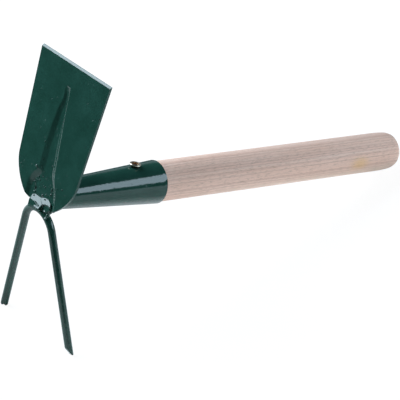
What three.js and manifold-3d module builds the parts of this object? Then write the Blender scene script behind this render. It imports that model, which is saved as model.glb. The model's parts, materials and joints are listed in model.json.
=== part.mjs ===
// A hand hoe with two ends: a flat trapezoid blade stands above its socket, and a bent rod fork hangs
// below it. Pieces: a turned ash handle, a rolled sheet steel socket, the pressed blade, the fork, one
// wood screw and two welds. In the tool's own frame X runs along the handle, from zero at the socket's
// mouth to the butt, and Z points up towards the blade. At the end the tool is turned about Y, so that
// it rests on its two tine tips and its butt.
import * as THREE from "three";
import { mergeVertices } from "three/addons/utils/BufferGeometryUtils.js";
import Module from "manifold-3d";

// All lengths are in millimetres, and all angles in radians.
const radiansPerDegree = Math.PI / 180;

// Clearances between pieces, and how far a cutting shape runs past what it cuts.
const seatGap = 0.3;
const cutOverrun = 40;
const vertexSnap = 0.0005;

// Handle: an ash rod with a tapered tenon in the socket and a softly rounded butt.
const handleDiameter = 27.8;
const handleReach = 221.2;
const buttRoundLength = 14.5;
const buttRoundDrop = 1.3;
const buttCornerRadius = 1.8;
const tenonLength = 66;
const tenonEndChamfer = 1.5;
const shoulderGap = 0.4;

// Socket: sheet steel rolled to a tapered tube, with an open seam on its underside.
const socketMouthDiameter = 29.6;
const socketNoseDiameter = 17.6;
const socketWall = 1.2;
const seamWidth = 0.8;
const seamTurn = 20 * radiansPerDegree;

// Head: how far the blade's front face is from the socket's mouth, along the socket's axis.
const headReach = 95;

// Blade: heights are measured along the plate from the socket's axis.
const bladeRise = 92.1;
const bladeEdgeWidth = 73.8;
const bladeWaistWidth = 63.4;
const bladeTurnHeight = 20;
const bladeRoundDepth = 29;
const bladeThickness = 1.65;
const bladeLean = 5.9 * radiansPerDegree;
const bevelWidth = 2.2;
const edgeThickness = 0.25;
const outlinePowerShare = 1.8;

// Blade pressing: a groove pressed into the front face, which opens at the socket into a pocket.
const pressTop = 76.5;
const pressHalfWidth = 16;
const pressDepth = 1.65;
const wallRoundShare = 0.22;
// Each row: height as a share of pressTop, then the places of the left lip, the left foot, the right foot
// and the right lip as shares of pressHalfWidth, and the depth as a share of pressDepth. Left is +Y.
const pressShares = [
  [-0.08, 1, 0.78, -0.78, -1, 1],
  [0, 1.02, 0.79, -0.76, -0.985, 1],
  [0.04, 1.04, 0.8, -0.725, -0.95, 1],
  [0.085, 1.01, 0.74, -0.675, -0.885, 1],
  [0.137, 0.89, 0.6, -0.545, -0.76, 1],
  [0.17, 0.77, 0.44, -0.425, -0.655, 1],
  [0.2, 0.66, 0.31, -0.305, -0.565, 1],
  [0.235, 0.6, 0.27, -0.26, -0.52, 1],
  [0.275, 0.6, 0.27, -0.225, -0.49, 1],
  [0.333, 0.605, 0.255, -0.19, -0.455, 1],
  [0.42, 0.58, 0.245, -0.14, -0.4, 1],
  [0.55, 0.53, 0.225, -0.06, -0.325, 1],
  [0.68, 0.465, 0.205, -0.01, -0.25, 1],
  [0.785, 0.39, 0.17, 0.01, -0.18, 0.98],
  [0.86, 0.275, 0.09, 0.005, -0.13, 0.82],
  [0.905, 0.21, 0.08, 0.005, -0.125, 0.65],
  [0.94, 0.24, 0.11, 0, -0.11, 0.5],
  [0.985, 0.27, 0.13, 0, -0.06, 0.3],
  [1, 0.22, 0.12, 0, -0.03, 0],
];
// The plate's rows are closer together below pocketTop and above tipStart, where the pressing changes fast.
const pocketTop = 22;
const tipStart = 58;
const lastPressShare = 0.99;
const widestLipShare = 0.93;
const widestFootShare = 0.85;
const floorColumns = 3;
const wallColumns = 5;
const flatColumns = 3;

// Fork: one rod bent to a narrow arch, with two straight tines.
const rodDiameter = 5.2;
const crownDrop = 8.2;
const crownSetback = 2.05;
const crownRadius = 15.3;
const forkDrop = 92.2;
const forkLean = 10.3 * radiansPerDegree;
const tineSplay = 16.1 * radiansPerDegree;
const tineCutAngle = 32 * radiansPerDegree;
const tineLand = 1.8;
const nickDepth = 1.3;
const nickTurn = 46 * radiansPerDegree;

// Screw: a countersunk wood screw through the top of the socket, not driven quite home.
const screwBack = 19.6;
const screwLength = 25;
const screwHeadDiameter = 8;
const screwHeadRim = 0.5;
const screwHeadCone = 2.2;
const screwProud = 2.2;
const screwShankDiameter = 4.4;
const screwShankLength = 8;
const screwCoreDiameter = 3.1;
const screwThreadDiameter = 4.5;
const screwPitch = 2;
const screwTipLength = 4;
const crossWidth = 1.1;
const crossSpan = 4.6;
const crossDepth = 1.8;

// Welds: a lumpy bead above the fork's crown, and a plain fillet around the socket's nose.
// A row of flattened lumps leans from the plate down to the rod, and round lumps cover the rod's top.
const beadSlope = 33 * radiansPerDegree;
const beadSetback = 1.8;
const beadThickness = 1.7;
const beadHalfLength = 12;
const beadHeight = 4.2;
// Each flattened lump: place across as a share of beadHalfLength, then its middle's drop, its half width
// and its half height as shares of beadHeight.
const beadShares = [
  [0.76, 0.86, 0.68, 0.58],
  [0.52, 0.64, 0.86, 0.81],
  [0.22, 0.76, 0.86, 0.86],
  [-0.1, 0.76, 0.72, 0.76],
  [-0.37, 0.52, 0.9, 1],
  [-0.65, 0.6, 0.81, 0.86],
  [-0.87, 0.79, 0.57, 0.62],
];
const rootSetback = 1.35;
const rootRadius = 2.2;
const rootRise = 2.1;
// Each round lump at the rod: place across as a share of beadHalfLength.
const rootShares = [0.67, 0.5, 0.33, 0.16, 0, -0.16, -0.33, -0.5, -0.67];
const filletLeg = 3;

// Counts of facets.
const roundSegments = 60;
const rodSides = 18;
const rodSteps = 66;

const wasm = await Module();
wasm.setup();

const handleRadius = handleDiameter / 2;
const mouthRadius = socketMouthDiameter / 2;
const noseRadius = socketNoseDiameter / 2;
const rodRadius = rodDiameter / 2;
// The socket ends this far behind the blade's front face, against the back of the pocket.
const noseSetback = pressDepth + bladeThickness + seatGap;
const socketLength = headReach - noseSetback;
const socketTaper = (mouthRadius - noseRadius) / socketLength;
// The blade's toe ends just above the rod.
const toeDrop = crownDrop - rodRadius - seatGap;
// The socket's hole clears the cone of the screw's head where it passes through the surface.
const coneShare = THREE.MathUtils.clamp((screwProud - screwHeadRim) / screwHeadCone, 0, 1);
const coneRadius = THREE.MathUtils.lerp(screwHeadDiameter, screwShankDiameter, coneShare) / 2;
const holeRadius = coneRadius + seatGap;

function toSolid(geometry) {
  const bare = geometry.index ? geometry.toNonIndexed() : geometry.clone();
  bare.deleteAttribute("normal");
  bare.deleteAttribute("uv");
  const merged = mergeVertices(bare, vertexSnap);
  return new wasm.Manifold(
    new wasm.Mesh({
      numProp: 3,
      vertProperties: merged.attributes.position.array,
      triVerts: new Uint32Array(merged.index.array),
    }),
  );
}

function toMesh(name, solid, color, roughness, metalness) {
  const out = solid.getMesh();
  const geometry = new THREE.BufferGeometry();
  geometry.setAttribute("position", new THREE.BufferAttribute(out.vertProperties, out.numProp));
  geometry.setIndex(new THREE.BufferAttribute(out.triVerts, 1));
  geometry.computeVertexNormals();
  const mesh = new THREE.Mesh(geometry, new THREE.MeshStandardMaterial({ color, roughness, metalness }));
  mesh.name = name;
  return mesh;
}

// A turned shape about the X axis from points of radius and place along X.
function turned(points) {
  const profile = points.map(([radius, along]) => new THREE.Vector2(Math.max(radius, 0), along));
  return new THREE.LatheGeometry(profile, roundSegments).rotateZ(-Math.PI / 2);
}

// A box that fills the side of a plane towards which its normal points: normal and spot are vectors.
function halfSpace(spot, normal) {
  const size = cutOverrun * 4;
  const box = new THREE.BoxGeometry(size, size, size).translate(0, 0, size / 2);
  box.applyQuaternion(new THREE.Quaternion().setFromUnitVectors(new THREE.Vector3(0, 0, 1), normal));
  return box.translate(spot.x, spot.y, spot.z);
}

// Straight-line reading of one column of a table of shares, whose first column rises.
function readShares(rows, column, at) {
  if (at <= rows[0][0]) return rows[0][column];
  for (let i = 1; i < rows.length; i++) {
    const low = rows[i - 1];
    const high = rows[i];
    if (at <= high[0]) return THREE.MathUtils.mapLinear(at, low[0], high[0], low[column], high[column]);
  }
  return rows[rows.length - 1][column];
}

// A straight ramp from zero to one over the same run, with both its ends rounded.
function roundedRamp(t) {
  const place = THREE.MathUtils.clamp(t, 0, 1);
  const fromEnd = Math.min(place, 1 - place);
  const straight = 1 - wallRoundShare;
  const nearEnd = fromEnd < wallRoundShare
    ? (fromEnd * fromEnd) / (2 * wallRoundShare * straight)
    : (fromEnd - wallRoundShare / 2) / straight;
  return place < 1 - place ? nearEnd : 1 - nearEnd;
}

// The head's frame: its origin is where the socket's axis meets the blade's front face.
// Local X points back at the handle, local Y across and local Z up along the plate.
function ontoHead(geometry) {
  return geometry.rotateY(bladeLean).translate(-headReach, 0, 0);
}

const headUp = new THREE.Vector3(Math.sin(bladeLean), 0, Math.cos(bladeLean));
const headFront = new THREE.Vector3(-Math.cos(bladeLean), 0, Math.sin(bladeLean));
const headOrigin = new THREE.Vector3(-headReach, 0, 0);

function headPoint(up, forward) {
  return headOrigin.clone().addScaledVector(headUp, up).addScaledVector(headFront, forward);
}

function socketRadius(along) {
  return mouthRadius + socketTaper * along;
}

// Half the blade's width at a height.
function halfWidth(height) {
  const slope = (bladeEdgeWidth - bladeWaistWidth) / 2 / (bladeRise - bladeTurnHeight);
  const straight = bladeWaistWidth / 2 + slope * (height - bladeTurnHeight);
  if (height >= bladeTurnHeight) return straight;
  const down = (bladeTurnHeight - height) / bladeRoundDepth;
  return straight * (1 - down ** outlinePowerShare) ** (1 / outlinePowerShare);
}

// The pressing at a height: the places across of its lips and feet, and its depth.
function pressAt(height) {
  const share = height / pressTop;
  const [leftLip, leftFoot, rightFoot, rightLip] = [1, 2, 3, 4].map(
    (column) => readShares(pressShares, column, share) * pressHalfWidth,
  );
  return { leftLip, leftFoot, rightFoot, rightLip, depth: readShares(pressShares, 5, share) * pressDepth };
}

function sinkAt(across, press) {
  const left = roundedRamp((press.leftLip - across) / (press.leftLip - press.leftFoot));
  const right = roundedRamp((across - press.rightLip) / (press.rightFoot - press.rightLip));
  return press.depth * left * right;
}

// Places across one row of the plate, which follow the pressing's lips and feet.
function rowPlaces(height) {
  const wide = halfWidth(height);
  const press = pressAt(Math.min(height, pressTop * lastPressShare));
  const leftLip = Math.min(press.leftLip, wide * widestLipShare);
  const rightLip = Math.max(press.rightLip, -wide * widestLipShare);
  const leftFoot = Math.min(press.leftFoot, leftLip * widestFootShare);
  const rightFoot = Math.max(press.rightFoot, rightLip * widestFootShare);
  const marks = [-wide, rightLip, rightFoot, leftFoot, leftLip, wide];
  const counts = [flatColumns, wallColumns, floorColumns, wallColumns, flatColumns];
  const places = [-wide];
  counts.forEach((count, m) => {
    for (let i = 1; i <= count; i++) places.push(THREE.MathUtils.lerp(marks[m], marks[m + 1], i / count));
  });
  return places;
}

// Heights of the plate's rows.
function rowHeights() {
  const heights = [];
  const stretch = (from, to, count) => {
    for (let i = 0; i < count; i++) heights.push(THREE.MathUtils.lerp(from, to, i / count));
  };
  stretch(-toeDrop, pocketTop, 15);
  stretch(pocketTop, tipStart, 8);
  stretch(tipStart, pressTop, 10);
  stretch(pressTop, bladeRise - bevelWidth, 2);
  heights.push(bladeRise - bevelWidth, bladeRise);
  return heights;
}

// The pressed plate in its head frame. Both faces can be moved along the normal, to make a clearance shape.
function plate(frontShift, backShift) {
  const rows = rowHeights();
  const count = rowPlaces(rows[0]).length;
  const front = [];
  const back = [];
  rows.forEach((height, r) => {
    const press = pressAt(height);
    const ground = r === rows.length - 1 ? bladeThickness - edgeThickness : 0;
    for (const across of rowPlaces(height)) {
      const sink = height < pressTop ? sinkAt(across, press) : 0;
      front.push(sink + ground - frontShift, across, height);
      back.push(sink + bladeThickness + backShift, across, height);
    }
  });
  const index = [];
  const other = rows.length * count;
  const wall = (from, to) => index.push(from, to, to + other, from, to + other, from + other);
  for (let r = 0; r + 1 < rows.length; r++) {
    for (let c = 0; c + 1 < count; c++) {
      const a = r * count + c;
      const b = a + 1;
      const d = a + count;
      const e = d + 1;
      index.push(a, d, b, b, d, e);
      index.push(a + other, b + other, d + other, b + other, e + other, d + other);
    }
    wall((r + 1) * count, r * count);
    wall(r * count + count - 1, (r + 1) * count + count - 1);
  }
  for (let c = 0; c + 1 < count; c++) {
    wall(c, c + 1);
    wall(other - count + c + 1, other - count + c);
  }
  const geometry = new THREE.BufferGeometry();
  geometry.setAttribute("position", new THREE.Float32BufferAttribute([...front, ...back], 3));
  geometry.setIndex(index);
  return ontoHead(geometry);
}

// The rod's centre line: an arc over the crown that runs into two straight tines.
class ForkLine extends THREE.Curve {
  constructor() {
    super();
    this.bend = Math.PI / 2 - tineSplay;
    this.arc = crownRadius * this.bend;
    const arcDrop = crownRadius * (1 - Math.cos(this.bend));
    this.tine = (forkDrop - arcDrop) / Math.cos(tineSplay);
  }
  getPoint(t, target = new THREE.Vector3()) {
    const place = (t * 2 - 1) * (this.arc + this.tine);
    const run = Math.abs(place);
    const angle = Math.min(run, this.arc) / crownRadius;
    const past = Math.max(run - this.arc, 0);
    const across = crownRadius * Math.sin(angle) + past * Math.sin(tineSplay);
    const down = crownRadius * (1 - Math.cos(angle)) + past * Math.cos(tineSplay);
    return target.set(0, Math.sign(place) * across, -down);
  }
}

const forkLine = new ForkLine();
const crownSpot = headPoint(-crownDrop, -crownSetback);

function ontoFork(geometry) {
  return geometry.rotateY(-forkLean).translate(crownSpot.x, crownSpot.y, crownSpot.z);
}

function rod(radius) {
  const section = new THREE.Shape().absarc(0, 0, radius, 0, Math.PI * 2, false);
  return new THREE.ExtrudeGeometry(section, {
    steps: rodSteps,
    curveSegments: rodSides / 2,
    extrudePath: forkLine,
    bevelEnabled: false,
  });
}

function makeHandle() {
  const inner = (along) => socketRadius(along) - socketWall - seatGap;
  const points = [
    [0, -tenonLength],
    [inner(-tenonLength) - tenonEndChamfer, -tenonLength],
    [inner(-tenonLength + tenonEndChamfer), -tenonLength + tenonEndChamfer],
    [inner(0), 0],
    [inner(0), shoulderGap],
    [handleRadius, shoulderGap],
  ];
  const roundStart = handleReach - buttCornerRadius - buttRoundLength;
  const roundSteps = 8;
  for (let i = 0; i <= roundSteps; i++) {
    const t = i / roundSteps;
    const drop = buttRoundDrop * (1 - Math.sqrt(1 - t * t));
    points.push([handleRadius - drop, roundStart + buttRoundLength * t]);
  }
  const cornerSteps = 5;
  for (let i = 1; i <= cornerSteps; i++) {
    const turn = ((Math.PI / 2) * i) / cornerSteps;
    points.push([
      handleRadius - buttRoundDrop - buttCornerRadius * (1 - Math.cos(turn)),
      handleReach - buttCornerRadius * (1 - Math.sin(turn)),
    ]);
  }
  points.push([0, handleReach]);
  return toSolid(turned(points)).subtract(toSolid(screwBore(screwThreadDiameter / 2 + seatGap)));
}

// A bore down the screw's line, from above the socket to just past the screw's tip.
function screwBore(radius) {
  const top = socketRadius(-screwBack) + cutOverrun;
  const foot = socketRadius(-screwBack) + screwProud - screwLength - seatGap;
  const bore = new THREE.CylinderGeometry(radius, radius, top - foot, rodSides).rotateX(Math.PI / 2);
  return bore.translate(-screwBack, 0, (top + foot) / 2);
}

function makeSocket() {
  const far = -socketLength - cutOverrun / 2;
  const outer = (along) => socketRadius(along);
  const inner = (along) => socketRadius(along) - socketWall;
  const tube = turned([[inner(0), 0], [inner(far), far], [outer(far), far], [outer(0), 0], [inner(0), 0]]);
  const length = socketLength + cutOverrun * 2;
  const slit = new THREE.BoxGeometry(length, seamWidth, cutOverrun);
  slit.translate(-length / 2 + cutOverrun, 0, -cutOverrun / 2).rotateX(seamTurn);
  const front = halfSpace(headPoint(0, -noseSetback), headFront);
  // The rod lies in a notch across the nose's underside.
  return toSolid(tube)
    .subtract(toSolid(front))
    .subtract(toSolid(slit))
    .subtract(toSolid(screwBore(holeRadius)))
    .subtract(toSolid(ontoFork(rod(rodRadius + seatGap))));
}

function makeBlade() {
  return toSolid(plate(0, 0));
}

function makeFork() {
  // One tine is ground at a slant on its front, and the other has a small nick across its end.
  const end = forkLine.getPoint(1);
  const slant = halfSpace(
    new THREE.Vector3(rodRadius - tineLand, 0, end.z),
    new THREE.Vector3(-Math.cos(tineCutAngle), 0, -Math.sin(tineCutAngle)),
  );
  const nearSide = halfSpace(new THREE.Vector3(0, 0, end.z), new THREE.Vector3(0, -1, 0));
  const cut = toSolid(slant).intersect(toSolid(nearSide));
  const nick = new THREE.BoxGeometry(rodDiameter * 2, nickDepth * Math.SQRT2, nickDepth * Math.SQRT2);
  nick.rotateX(Math.PI / 4).rotateZ(nickTurn).rotateX(tineSplay).translate(end.x, end.y, end.z);
  const bent = toSolid(rod(rodRadius)).subtract(cut).subtract(toSolid(nick));
  return toSolid(ontoFork(solidGeometry(bent)));
}

function solidGeometry(solid) {
  const out = solid.getMesh();
  const geometry = new THREE.BufferGeometry();
  geometry.setAttribute("position", new THREE.BufferAttribute(out.vertProperties, out.numProp));
  geometry.setIndex(new THREE.BufferAttribute(out.triVerts, 1));
  return geometry;
}

// The screw, made upright with the top of its head at zero: a head and shank, and a threaded core.
function makeScrew() {
  const head = screwHeadDiameter / 2;
  const shank = screwShankDiameter / 2;
  const shankEnd = -screwHeadRim - screwHeadCone - screwShankLength;
  const top = [
    [0, shankEnd],
    [shank, shankEnd],
    [shank, -screwHeadRim - screwHeadCone],
    [head, -screwHeadRim],
    [head - screwHeadRim / 2, 0],
    [0, 0],
  ];
  const outline = top.map(([radius, height]) => new THREE.Vector2(radius, height));
  const body = new THREE.LatheGeometry(outline, rodSides * 2).rotateX(Math.PI / 2);
  const arm = new THREE.BoxGeometry(crossSpan, crossWidth, crossDepth * 2);
  const otherArm = arm.clone().rotateZ(Math.PI / 2);
  const solid = toSolid(body)
    .subtract(toSolid(arm))
    .subtract(toSolid(otherArm))
    .add(toSolid(thread(shankEnd)));
  const placed = solidGeometry(solid).translate(-screwBack, 0, socketRadius(-screwBack) + screwProud);
  return toSolid(placed);
}

// A threaded core that starts inside the shank and tapers to the tip.
function thread(shankEnd) {
  const sides = 12;
  const rowsPerTurn = 6;
  const start = shankEnd + screwPitch;
  const end = -screwLength;
  const rows = Math.round(((start - end) / screwPitch) * rowsPerTurn);
  const core = screwCoreDiameter / 2;
  const crest = screwThreadDiameter / 2;
  const spots = [0, 0, start];
  for (let r = 0; r <= rows; r++) {
    const height = THREE.MathUtils.lerp(start, end + screwTipLength / rowsPerTurn, r / rows);
    const narrowing = Math.min(1, (height - end) / screwTipLength);
    for (let s = 0; s < sides; s++) {
      const phase = (start - height) / screwPitch - s / sides;
      const ridge = Math.max(0, 1 - Math.abs((phase - Math.round(phase)) * 3));
      const inShank = r === 0 ? 0 : 1;
      const radius = (core + (crest - core) * ridge * inShank) * narrowing;
      const angle = (s / sides) * Math.PI * 2;
      spots.push(radius * Math.cos(angle), radius * Math.sin(angle), height);
    }
  }
  spots.push(0, 0, end);
  const index = [];
  const last = spots.length / 3 - 1;
  for (let s = 0; s < sides; s++) {
    const next = (s + 1) % sides;
    index.push(0, 1 + s, 1 + next);
    for (let r = 0; r < rows; r++) {
      const a = 1 + r * sides + s;
      const b = 1 + r * sides + next;
      index.push(a, a + sides, b, b, a + sides, b + sides);
    }
    index.push(last, 1 + rows * sides + next, 1 + rows * sides + s);
  }
  const geometry = new THREE.BufferGeometry();
  geometry.setAttribute("position", new THREE.Float32BufferAttribute(spots, 3));
  geometry.setIndex(index);
  return geometry;
}

// How far the rod's centre line lies below its crown at a place across.
function archDrop(across) {
  return crownRadius - Math.sqrt(crownRadius ** 2 - across ** 2);
}

// The front bead: overlapping lumps in the corner of the pocket and the crown, clear of both.
function makeForkWeld() {
  const flat = beadShares.map(([acrossShare, dropShare, wideShare, highShare]) =>
    new THREE.SphereGeometry(1, rodSides, rodSides / 2)
      .scale(beadThickness, beadHeight * wideShare, beadHeight * highShare)
      .rotateY(beadSlope)
      .translate(beadSetback, beadHalfLength * acrossShare, -beadHeight * dropShare),
  );
  const round = rootShares.map((share) =>
    new THREE.SphereGeometry(rootRadius, rodSides, rodSides / 2).translate(
      rootSetback,
      beadHalfLength * share,
      rootRise - crownDrop - archDrop(beadHalfLength * share),
    ),
  );
  return [...flat, ...round]
    .map((lump) => toSolid(ontoHead(lump)))
    .reduce((bead, lump) => bead.add(lump))
    .subtract(toSolid(plate(seatGap, cutOverrun / 4)))
    .subtract(toSolid(ontoFork(rod(rodRadius + seatGap))))
    .subtract(toSolid(halfSpace(headPoint(0, -noseSetback + seatGap), headFront.clone().negate())));
}

// The rear fillet: a ring around the socket's nose, only where the plate lies in front of it.
function makeSocketWeld() {
  const nose = -socketLength;
  const wide = noseRadius + filletLeg + seatGap;
  const ring = turned([
    [0, nose - filletLeg],
    [wide, nose - filletLeg],
    [wide, nose],
    [noseRadius, nose + filletLeg],
    [0, nose + filletLeg],
  ]);
  const far = -socketLength - cutOverrun / 2;
  const core = turned([[0, far], [socketRadius(far) + seatGap, far], [socketRadius(0) + seatGap, 0], [0, 0]]);
  return toSolid(ring)
    .subtract(toSolid(core))
    .subtract(toSolid(plate(cutOverrun / 4, seatGap)))
    .subtract(toSolid(halfSpace(headPoint(0, -noseSetback), headFront)))
    .subtract(toSolid(halfSpace(headPoint(-toeDrop, 0), headUp.clone().negate())));
}

const paint = "#21463e";
const handle = toMesh("handle", makeHandle(), "#cbb7a3", 0.75, 0);
const fork = toMesh("fork", makeFork(), paint, 0.35, 0.1);
const pieces = [
  handle,
  toMesh("socket", makeSocket(), paint, 0.3, 0.1),
  toMesh("blade", makeBlade(), paint, 0.35, 0.1),
  fork,
  toMesh("screw", makeScrew(), "#b9953f", 0.3, 1),
  toMesh("fork_weld", makeForkWeld(), paint, 0.2, 0.1),
  toMesh("socket_weld", makeSocketWeld(), paint, 0.35, 0.1),
];

// The height of a mesh's lowest vertex once the tool is turned about Y by an angle.
function lowest(mesh, angle) {
  const places = mesh.geometry.attributes.position;
  const sin = Math.sin(angle);
  const cos = Math.cos(angle);
  let low = Infinity;
  for (let i = 0; i < places.count; i++) low = Math.min(low, places.getZ(i) * cos - places.getX(i) * sin);
  return low;
}

// The tool is turned until the tines and the butt reach the same floor.
let level = 0;
let steep = Math.PI / 4;
const halvings = 40;
for (let i = 0; i < halvings; i++) {
  const angle = (level + steep) / 2;
  if (lowest(fork, angle) < lowest(handle, angle)) level = angle;
  else steep = angle;
}

const tool = new THREE.Group();
tool.add(...pieces);
tool.rotation.y = level;
tool.updateMatrixWorld(true);
const box = new THREE.Box3().setFromObject(tool, true);
tool.position.set(-(box.min.x + box.max.x) / 2, -(box.min.y + box.max.y) / 2, -box.min.z);

const part = new THREE.Group();
part.add(tool);

export default part;
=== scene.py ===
# %% [markdown]
# # A hand hoe with a blade and a fork, dressed for the camera
# The real tool is a small garden hoe: a pressed steel blade stands on one side
# of a rolled steel socket, a bent rod fork hangs on the other side, welds hold
# the two to the socket, and a turned ash handle is held in the socket by one
# wood screw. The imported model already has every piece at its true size. This
# lesson builds a finer copy of each piece in the same place, and then gives
# each one the finish of the real material.

import json
import math
import random

import bmesh
import bpy
import numpy as np
from mathutils import Matrix, Vector


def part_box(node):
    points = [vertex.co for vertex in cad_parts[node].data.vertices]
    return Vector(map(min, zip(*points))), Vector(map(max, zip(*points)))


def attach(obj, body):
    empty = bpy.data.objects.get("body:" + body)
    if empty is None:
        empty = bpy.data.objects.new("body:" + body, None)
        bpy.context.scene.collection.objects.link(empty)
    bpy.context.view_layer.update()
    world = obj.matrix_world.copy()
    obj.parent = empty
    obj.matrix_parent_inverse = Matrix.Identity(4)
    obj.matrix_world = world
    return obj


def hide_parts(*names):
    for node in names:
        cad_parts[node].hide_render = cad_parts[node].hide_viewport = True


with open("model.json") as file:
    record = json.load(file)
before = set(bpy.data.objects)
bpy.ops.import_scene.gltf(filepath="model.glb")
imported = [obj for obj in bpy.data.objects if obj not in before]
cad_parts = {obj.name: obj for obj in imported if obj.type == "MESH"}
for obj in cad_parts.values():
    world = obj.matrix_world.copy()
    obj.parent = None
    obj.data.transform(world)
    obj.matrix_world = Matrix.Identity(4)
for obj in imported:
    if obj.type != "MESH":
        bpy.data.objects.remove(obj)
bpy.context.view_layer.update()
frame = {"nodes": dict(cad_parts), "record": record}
for node_name in sorted(frame["nodes"]):
    low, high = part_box(node_name)
    print(node_name, [round(v * 1000, 1) for v in (*low, *high)])

# %% [markdown]
# ## One frame for the whole tool
# The tool lies on its two tine tips and its butt, so its handle is tilted and
# nothing on it is square to the floor. It is far easier to model it level, with
# X running along the handle from the socket's mouth, Y across and Z up towards
# the blade, and to turn each finished piece into place. The record says where
# the middle of the flat butt is and which way it faces, and that gives the turn.

# %% Measure the tilt from the record
MM = 0.001
HANDLE_REACH = 221.2 * MM

butt = next(m for m in frame["record"]["mounts"] if m["name"] == "butt_face")
along = Vector(butt["axis"])
mouth_spot = Vector(butt["pos_m"]) - along * HANDLE_REACH
tilt = math.atan2(-along.z, along.x)
LEVEL_TO_FLOOR = Matrix.Translation(mouth_spot) @ Matrix.Rotation(tilt, 4, "Y")
print("the handle is tilted by", round(math.degrees(tilt), 2), "degrees")

# %% [markdown]
# ## Working by hand, in code
# Every piece is made the way it would be made with the mouse: add a primitive,
# go into edit mode, pick some faces or edges, and extrude, spin or bevel them.
# Code has no mouse, so these helpers pick what lies in a given place, and step
# in and out of edit mode. Everything is deselected first, because a tool acts
# on all that is selected.

# %% Helpers for edit mode
def select_only(*pieces):
    """Selects these pieces and no others, and makes the first of them the active one."""
    bpy.ops.object.select_all(action="DESELECT")
    for piece in pieces:
        piece.select_set(True)
    bpy.context.view_layer.objects.active = pieces[0]


def start_edit(piece):
    """Selects one piece alone and steps into edit mode."""
    if bpy.context.object:
        bpy.ops.object.mode_set(mode="OBJECT")
    select_only(piece)
    bpy.ops.object.mode_set(mode="EDIT")
    bpy.ops.mesh.select_mode(type="VERT")


def pick(piece, wanted, kind):
    """Selects only those edges or faces that wanted() says yes to."""
    bpy.ops.mesh.select_mode(type=kind[:-1].upper())
    bpy.ops.mesh.select_all(action="DESELECT")
    mesh = bmesh.from_edit_mesh(piece.data)
    found = 0
    for part in getattr(mesh, kind):
        if wanted(part):
            part.select_set(True)
            found += 1
    mesh.select_flush_mode()
    bmesh.update_edit_mesh(piece.data)
    return found


def pick_all():
    """Selects the whole piece."""
    bpy.ops.mesh.select_all(action="SELECT")


def face_outwards():
    """Turns all faces of the piece to look outwards."""
    pick_all()
    bpy.ops.mesh.normals_make_consistent(inside=False)


def end_edit():
    """Steps back out of edit mode."""
    bpy.ops.object.mode_set(mode="OBJECT")


def middle(part):
    """The middle of a face or an edge."""
    return sum((v.co for v in part.verts), Vector()) / len(part.verts)


def named(name):
    """Gives the new primitive its piece's name, and puts its place into its mesh."""
    piece = bpy.context.object
    piece.name = piece.data.name = name
    bpy.ops.object.transform_apply(location=True, rotation=True, scale=True)
    return piece


def apply_modifier(piece, kind, **settings):
    """Adds one modifier and applies it at once."""
    select_only(piece)
    modifier = piece.modifiers.new(kind.lower(), kind)
    for setting, value in settings.items():
        setattr(modifier, setting, value)
    bpy.ops.object.modifier_apply(modifier=modifier.name)


def cut_away(piece, tool):
    """Cuts a piece with the shape of a tool, and puts the tool away."""
    apply_modifier(piece, "BOOLEAN", object=tool, operation="DIFFERENCE", solver="EXACT")
    bpy.data.objects.remove(tool)


# Faces that meet at less than this angle are shaded as one round.
SMOOTH_BELOW = math.radians(32)


def settle(piece, slot, *nodes, into=LEVEL_TO_FLOOR):
    """Turns a finished piece into place, smooths its shading and lets it stand for its nodes."""
    select_only(piece)
    piece.matrix_world = into
    bpy.ops.object.transform_apply(location=True, rotation=True, scale=True)
    bpy.ops.object.shade_smooth_by_angle(angle=SMOOTH_BELOW)
    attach(piece, "root")
    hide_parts(*nodes)
    faces = sum(len(p.vertices) - 2 for p in piece.data.polygons)
    print(piece.name, "has", faces, "triangles")


# %% [markdown]
# ## The handle
# The real handle is a plain ash rod, turned on a lathe, with a softly rounded
# butt and a tapered tenon inside the socket. A curve could be spun round the
# axis, but a rod is just as quick to build as a turner sees it: start with one
# ring, extrude it along the axis again and again, and bring each new ring to
# the radius that the turner cuts there.

# %% Sizes of the socket's bore and the handle
MOUTH_RADIUS = 14.8 * MM
NOSE_RADIUS = 8.8 * MM
SOCKET_LENGTH = 91.4 * MM
SOCKET_WALL = 1.2 * MM
SEAT_GAP = 0.3 * MM


def socket_radius(x):
    """Outer radius of the socket at a place along the handle; the socket is at negative x."""
    return MOUTH_RADIUS + (MOUTH_RADIUS - NOSE_RADIUS) / SOCKET_LENGTH * x


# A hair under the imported 13.9 mm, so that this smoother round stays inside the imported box.
HANDLE_RADIUS = 13.83 * MM
TENON_LENGTH = 66 * MM
TENON_CHAMFER = 1.5 * MM
SHOULDER_GAP = 0.4 * MM
SHOULDER_ROUND = 0.25 * MM
BUTT_ROUND_LENGTH = 14.5 * MM
BUTT_ROUND_DROP = 1.3 * MM
BUTT_CORNER = 1.8 * MM
BUTT_ROUND_STEPS = 12
BUTT_CORNER_STEPS = 6
ROUND_SIDES = 96


def tenon_radius(x):
    """The socket's inner radius at a place along the handle, less the gap round the tenon."""
    return socket_radius(x) - SOCKET_WALL - SEAT_GAP


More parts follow.
